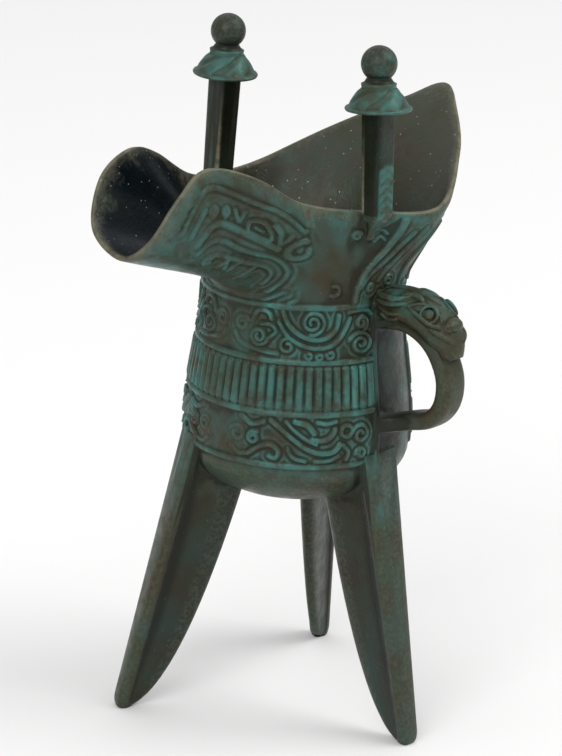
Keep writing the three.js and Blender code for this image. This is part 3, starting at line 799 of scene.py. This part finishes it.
def lining_samples():
    """Points on the plain outer wall and on the lining behind it."""
    bearing = np.arange(0, 360, 2.0)
    bearing = np.where(bearing > 180, bearing - 360, bearing)
    share = np.linspace(0, 1, 40)[:, None] + np.zeros(len(bearing))
    outside = flare(np.broadcast_to(station_of(bearing), share.shape), share)
    lining = outside - normals_of(outside) * (WALL + (RIM_WALL - WALL) * share)[..., None]
    z = np.linspace(BOWL_Z, WAIST_Z, 40)[:, None]
    degrees = np.linspace(-88, 0, 24)
    walls = [outside, polar(wall_radius(z), bearing, z), dome(0, degrees, bearing)]
    linings = [lining, polar(wall_radius(z) - WALL, bearing, z), dome(WALL, degrees, bearing)]
    outer = np.concatenate([part.reshape(-1, 3) for part in walls])
    inner = np.concatenate([part.reshape(-1, 3) for part in linings])
    return outer, inner


def hold(mesh, name, values):
    made = mesh.attributes.new(name, "FLOAT", "POINT")
    made.data.foreach_set("value", np.ascontiguousarray(values, np.float32))


def weather_and_paint_shade(made):
    """Where the casting is hollowed or raised, green or lined, where shade is painted dark, and where it is
    darker in tone, at each vertex.
    """
    mesh = made.data
    count = len(mesh.vertices)
    place = np.empty(count * 3, np.float32)
    mesh.vertices.foreach_get("co", place)
    place = place.reshape(-1, 3).astype(float) * METRE - AXIS
    normal = np.empty(count * 3, np.float32)
    mesh.vertex_normals.foreach_get("vector", normal)
    normal = normal.reshape(-1, 3)
    edges = np.empty(len(mesh.edges) * 2, np.int32)
    mesh.edges.foreach_get("vertices", edges)
    edges = edges.reshape(-1, 2)

    offset = np.einsum("ij,ij->i", place - neighbour_mean(place, edges, 10), normal)
    cavity = np.clip(neighbour_mean(offset[:, None], edges, 1)[:, 0] / 0.22, -1, 1)

    outer, inner = lining_samples()
    to_inner = nearest_gap(place, inner)
    inside = (to_inner < 1.2) & (to_inner < nearest_gap(place, outer))
    inside = smoothstep(0.2, 0.8, neighbour_mean(inside[:, None].astype(float), edges, 2)[:, 0])

    x, y, z = place.T
    bearing = np.degrees(np.arctan2(y, x))
    radius = np.hypot(x, y)
    on_wall = (np.abs(radius - wall_radius(np.clip(z, BOWL_Z, WAIST_Z))) < 1.6) & (z > 80) & (z < 128)
    plain = (bearing > PLAIN_FROM) & (bearing < PLAIN_TO)
    teal = np.where(on_wall & ~plain, 0.95, 0.0)
    teal = np.where(on_wall, teal * (0.45 + 0.55 * smoothstep(168, 158, np.abs(bearing))), teal)
    above = (z >= 128) & (radius < 90)
    top = SPOUT_STROKES[0][1]
    under = z < np.interp(x, top[:, 0], top[:, 1]) + 1.4
    on_spout = above & (x < -22) & (np.abs(normal[:, 1]) > 0.1)
    teal = np.where(on_spout, np.where(under, 0.65, 0.35), teal)
    edge = np.array(PLUME_EDGE, float)
    mirrored = -np.degrees(np.arctan2(np.abs(y), x))
    on_plume = above & (mirrored > np.interp(z, edge[:, 1], edge[:, 0])) & (x > -12) & (z < 152)
    teal = np.where(on_plume, 0.7, teal)
    post_gap = np.hypot(x - POST_X, np.abs(y) - POST_Y)
    on_post = (z > 144) & (post_gap < 12) & ((radius > 26) | (z > 160)) & (np.abs(x - POST_X) < 11)
    teal = np.where(on_post & (z > 190), 0.12, teal)
    outer_face = on_post & (normal[:, 1] * np.sign(y) > 0.4)
    on_cap = on_post & (z > 180) & (z < 190)
    teal = np.where(on_cap, 0.75, np.where(outer_face, 0.85, teal))
    teal = np.where(z < 80, 0.06, teal)
    teal = np.where(on_wall & plain, 0.5, teal)
    # Painted shade: the inside of the spout is darkened towards blue-black.
    painted_shade_and_dark_tone = inside * smoothstep(-18, -36, x)
    # Painted shade on the face of each post that looks towards the spout.
    shaded_post_face = on_post & (z < 180) & (normal[:, 0] < -0.5)
    painted_shade_and_dark_tone = np.maximum(painted_shade_and_dark_tone, np.where(shaded_post_face, smoothstep(151, 158, z), 0))
    # Painted shadow of the handle on the plain panel, together with its darker patina.
    painted_shade_and_dark_tone = np.maximum(painted_shade_and_dark_tone, np.where(on_wall & plain, 0.5, 0))
    # The knob is darkened as well.
    painted_shade_and_dark_tone = np.maximum(painted_shade_and_dark_tone, np.where(on_post & (z > 190), 0.35, 0))
    # Painted shade on the web behind each leg's outer strip.
    for at, foot, _ in LEGS:
        out = x * math.cos(math.radians(at)) + y * math.sin(math.radians(at))
        off = -x * math.sin(math.radians(at)) + y * math.cos(math.radians(at))
        depth = foot + (LEG_TOP - foot) * z / LEG_TOP_Z - out
        web = (z < 66) & (np.abs(off) < 8) & (out > 0)
        painted_shade_and_dark_tone = np.maximum(painted_shade_and_dark_tone, np.where(web, 0.35 * smoothstep(STRIP_DEPTH, STRIP_DEPTH + 1, depth), 0))
    painted_shade_and_dark_tone = neighbour_mean(painted_shade_and_dark_tone[:, None], edges, 3)[:, 0]
    teal = neighbour_mean((teal * (1 - inside))[:, None], edges, 3)[:, 0]
    station = np.linspace(0, STATIONS, 900, endpoint=False)
    brink = np.stack([flare(station, np.full(900, share)) for share in (0.99, 1)])
    middle = brink[1] - normals_of(brink)[1] * RIM_WALL / 2
    rim = smoothstep(0.9, 0.55, nearest_gap(place, middle))
    patina_and_painted_shade = {"cavity": cavity, "teal": teal, "inside": inside, "painted_shade_and_dark_tone": painted_shade_and_dark_tone, "rim": rim}
    for name, values in patina_and_painted_shade.items():
        hold(mesh, name, values)


vessel = build_vessel()
weather_and_paint_shade(vessel)
vessel.data.shade_smooth()
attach(vessel, "root")
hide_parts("vessel")

# Camera
VIEW_BEARING = -47.687
VIEW_CLIMB = 17.318
VIEW_ROLL = 2.546
VIEW_DISTANCE = 850
VIEW_TARGET_Z = 100
VIEW_RIGHT = -5.133
VIEW_UP = -2.223
FOCAL_PIXELS = 2958.41
IMAGE_HEIGHT = 756
SENSOR = 36


def add_camera():
    turn, climb, roll = (math.radians(v) for v in (VIEW_BEARING, VIEW_CLIMB, VIEW_ROLL))
    back = Vector((math.sin(turn) * math.cos(climb), -math.cos(turn) * math.cos(climb), math.sin(climb)))
    right = Vector((math.cos(turn), math.sin(turn), 0))
    up = back.cross(right)
    place = Vector((0, 0, VIEW_TARGET_Z)) + right * VIEW_RIGHT + up * VIEW_UP + back * VIEW_DISTANCE
    rolled_right = right * math.cos(roll) + up * math.sin(roll)
    rolled_up = up * math.cos(roll) - right * math.sin(roll)
    lens = bpy.data.cameras.new("camera")
    lens.sensor_width = SENSOR
    lens.lens = SENSOR * FOCAL_PIXELS / IMAGE_HEIGHT
    lens.clip_start = 0.01
    camera = bpy.data.objects.new("camera", lens)
    turned = Matrix((rolled_right, rolled_up, back)).transposed().to_4x4()
    camera.matrix_world = Matrix.Translation((place + Vector(AXIS)) / METRE) @ turned
    bpy.context.scene.collection.objects.link(camera)
    bpy.context.scene.camera = camera


add_camera()


# Materials
class Graph:
    """Builds the nodes of a material; a number stands for itself and a socket for its value."""

    def __init__(self, name):
        self.material = bpy.data.materials.new(name)
        self.material.use_nodes = True
        self.tree = self.material.node_tree
        self.tree.nodes.clear()
        self.output = self.tree.nodes.new("ShaderNodeOutputMaterial")
        self.shader = self.tree.nodes.new("ShaderNodeBsdfPrincipled")
        self.tree.links.new(self.shader.outputs[0], self.output.inputs[0])
        self.place = self.tree.nodes.new("ShaderNodeTexCoord").outputs["Object"]

    def feed(self, socket, value):
        if isinstance(value, bpy.types.NodeSocket):
            self.tree.links.new(value, socket)
        else:
            socket.default_value = value

    def maths(self, operation, a, b=0.0, c=0.0):
        made = self.tree.nodes.new("ShaderNodeMath")
        made.operation = operation
        made.use_clamp = True
        for socket, value in zip(made.inputs, (a, b, c)):
            self.feed(socket, value)
        return made.outputs[0]

    def ramp(self, value, low, high, bottom=0.0, top=1.0):
        made = self.tree.nodes.new("ShaderNodeMapRange")
        made.interpolation_type = "SMOOTHSTEP"
        for name, number in (("From Min", low), ("From Max", high), ("To Min", bottom), ("To Max", top)):
            made.inputs[name].default_value = number
        self.feed(made.inputs["Value"], value)
        return made.outputs["Result"]

    def mix(self, a, b, factor):
        made = self.tree.nodes.new("ShaderNodeMix")
        made.data_type = "RGBA"
        self.feed(made.inputs["Factor"], factor)
        self.feed(made.inputs[6], a)
        self.feed(made.inputs[7], b)
        return made.outputs[2]

    def noise(self, size, detail=4.0, stretch=(1, 1, 1)):
        """Cloudy values with features about so many millimetres wide."""
        fit = self.tree.nodes.new("ShaderNodeMapping")
        fit.inputs["Scale"].default_value = stretch
        self.feed(fit.inputs["Vector"], self.place)
        made = self.tree.nodes.new("ShaderNodeTexNoise")
        made.inputs["Scale"].default_value = METRE / size
        made.inputs["Detail"].default_value = detail
        made.inputs["Roughness"].default_value = 0.6
        self.feed(made.inputs["Vector"], fit.outputs[0])
        return made.outputs[0]

    def specks(self, spacing, radius):
        """Small round spots in some of the cells of a given spacing."""
        made = self.tree.nodes.new("ShaderNodeTexVoronoi")
        made.inputs["Scale"].default_value = METRE / spacing
        self.feed(made.inputs["Vector"], self.place)
        spot = self.ramp(made.outputs["Distance"], radius, radius * 0.5)
        chosen = self.tree.nodes.new("ShaderNodeSeparateColor")
        self.feed(chosen.inputs[0], made.outputs["Color"])
        return self.maths("MULTIPLY", spot, self.ramp(chosen.outputs[0], 0.72, 0.78))

    def held(self, name):
        made = self.tree.nodes.new("ShaderNodeAttribute")
        made.attribute_name = name
        return made.outputs["Fac"]


def linear(red, green, blue):
    """A colour of the finished picture, from 0 to 255, as a light value."""
    shares = [v / 255 for v in (red, green, blue)]
    return (*[v / 12.92 if v < 0.04045 else ((v + 0.055) / 1.055) ** 2.4 for v in shares], 1.0)


OLIVE = linear(55, 62, 46)
BROWN = linear(58, 51, 37)
GREY_GREEN = linear(54, 72, 66)
TEAL = linear(57, 103, 97)
TURQUOISE = linear(74, 142, 132)
RECESS = linear(28, 30, 18)
# Blue-black of painted shade, also used for the darker tone of the plain panel and the knob.
BLUE_BLACK_SHADE_AND_TONE = linear(7, 17, 24)
LINING = linear(62, 62, 54)
PALE = linear(176, 174, 156)
WORN = linear(100, 104, 90)
BRIGHT_RIM = linear(128, 122, 100)
FLOOR_COLOUR = linear(236, 235, 235)


def bronze_material():
    g = Graph("bronze_patina_and_painted_shade")
    cavity, teal, inside, painted_shade_and_dark_tone = (g.held(name) for name in ("cavity", "teal", "inside", "painted_shade_and_dark_tone"))
    broad = g.noise(14, 5.0)
    middle = g.noise(4, 5.0)
    fine = g.noise(1.1, 4.0)
    streak = g.noise(9, 3.0, (1, 1, 0.35))
    raised = g.ramp(cavity, -0.15, 0.5)
    sunk = g.ramp(cavity, 0.0, -0.75)

    colour = g.mix(OLIVE, BROWN, g.ramp(broad, 0.42, 0.62))
    colour = g.mix(colour, GREY_GREEN, g.ramp(g.noise(22, 4.0), 0.45, 0.65, 0.0, 0.6))
    colour = g.mix(colour, LINING, g.maths("MULTIPLY", inside, g.ramp(middle, 0.3, 0.7)))
    patchy = g.ramp(g.noise(6, 6.0), 0.38, 0.6, 0.12, 1.0)
    green = g.maths("MULTIPLY", teal, g.maths("MULTIPLY", patchy, g.ramp(raised, 0.0, 1.0, 0.55, 1.0)))
    colour = g.mix(colour, TEAL, green)
    bright = g.maths("MULTIPLY", g.maths("MULTIPLY", teal, raised), g.ramp(streak, 0.58, 0.74))
    colour = g.mix(colour, TURQUOISE, g.maths("MULTIPLY", bright, 0.75))
    colour = g.mix(colour, RECESS, g.maths("MULTIPLY", sunk, 0.75))
    # Painted shade: blue-black is mixed in where the shade attribute is set, which also darkens the plain
    # panel and the knob.
    colour = g.mix(colour, BLUE_BLACK_SHADE_AND_TONE, painted_shade_and_dark_tone)
    worn = g.maths("MULTIPLY", g.ramp(cavity, 0.55, 1.0), g.ramp(fine, 0.4, 0.65))
    colour = g.mix(colour, WORN, g.maths("MULTIPLY", worn, 0.22))
    rubbed = g.maths("MULTIPLY", g.held("rim"), g.ramp(middle, 0.35, 0.6, 0.25, 0.7))
    colour = g.mix(colour, BRIGHT_RIM, rubbed)
    spots = g.maths("MULTIPLY", g.specks(1.7, 0.16), g.maths("MULTIPLY_ADD", inside, 0.5, 0.1))
    colour = g.mix(colour, PALE, spots)
    g.feed(g.shader.inputs["Base Color"], colour)
    g.feed(g.shader.inputs["Roughness"], g.ramp(middle, 0.3, 0.7, 0.3, 0.5))
    g.shader.inputs["Metallic"].default_value = 0.2
    g.shader.inputs["Specular IOR Level"].default_value = 0.2

    bump = g.tree.nodes.new("ShaderNodeBump")
    bump.inputs["Strength"].default_value = 0.35
    bump.inputs["Distance"].default_value = 0.0004
    g.feed(bump.inputs["Height"], g.maths("MULTIPLY_ADD", middle, 0.5, fine))
    g.feed(g.shader.inputs["Normal"], bump.outputs[0])
    return g.material


vessel.data.materials.clear()
vessel.data.materials.append(bronze_material())


def floor_material():
    g = Graph("pale_floor")
    g.shader.inputs["Base Color"].default_value = FLOOR_COLOUR
    g.shader.inputs["Roughness"].default_value = 0.7
    return g.material


def add_floor():
    half = 4.0
    mesh = bpy.data.meshes.new("floor")
    corners = [(-half, -half, 0), (half, -half, 0), (half, half, 0), (-half, half, 0)]
    mesh.from_pydata(corners, [], [(0, 1, 2, 3)])
    made = bpy.data.objects.new("floor", mesh)
    mesh.materials.append(floor_material())
    bpy.context.scene.collection.objects.link(made)


add_floor()


# Light, in metres and watts
LIGHT_SIZE = 1.6
LIGHT_AIM = Vector((0, 0, 0.1))
SKY_LOW = 0.35
SKY_HIGH = 0.94


def add_light(name, place, power):
    data = bpy.data.lights.new(name, "AREA")
    data.size = LIGHT_SIZE
    data.energy = power
    made = bpy.data.objects.new(name, data)
    made.location = place
    made.rotation_euler = (LIGHT_AIM - Vector(place)).to_track_quat("-Z", "Y").to_euler()
    bpy.context.scene.collection.objects.link(made)


add_light("key", (1.1, -1.3, 2.0), 26)
add_light("fill", (-2.0, -0.7, 1.5), 24)


def add_world():
    """A bright sky that dims towards the horizon."""
    world = bpy.data.worlds.new("studio")
    bpy.context.scene.world = world
    world.use_nodes = True
    tree = world.node_tree
    ground = tree.nodes["Background"]
    ground.inputs["Color"].default_value = (1, 1, 1, 1)
    across = tree.nodes.new("ShaderNodeTexCoord")
    split = tree.nodes.new("ShaderNodeSeparateXYZ")
    dim = tree.nodes.new("ShaderNodeMapRange")
    for name, value in (("From Min", 0.0), ("From Max", 0.7), ("To Min", SKY_LOW), ("To Max", SKY_HIGH)):
        dim.inputs[name].default_value = value
    tree.links.new(across.outputs["Generated"], split.inputs[0])
    tree.links.new(split.outputs["Z"], dim.inputs["Value"])
    tree.links.new(dim.outputs["Result"], ground.inputs["Strength"])


add_world()
bpy.context.scene.view_settings.view_transform = "Standard"
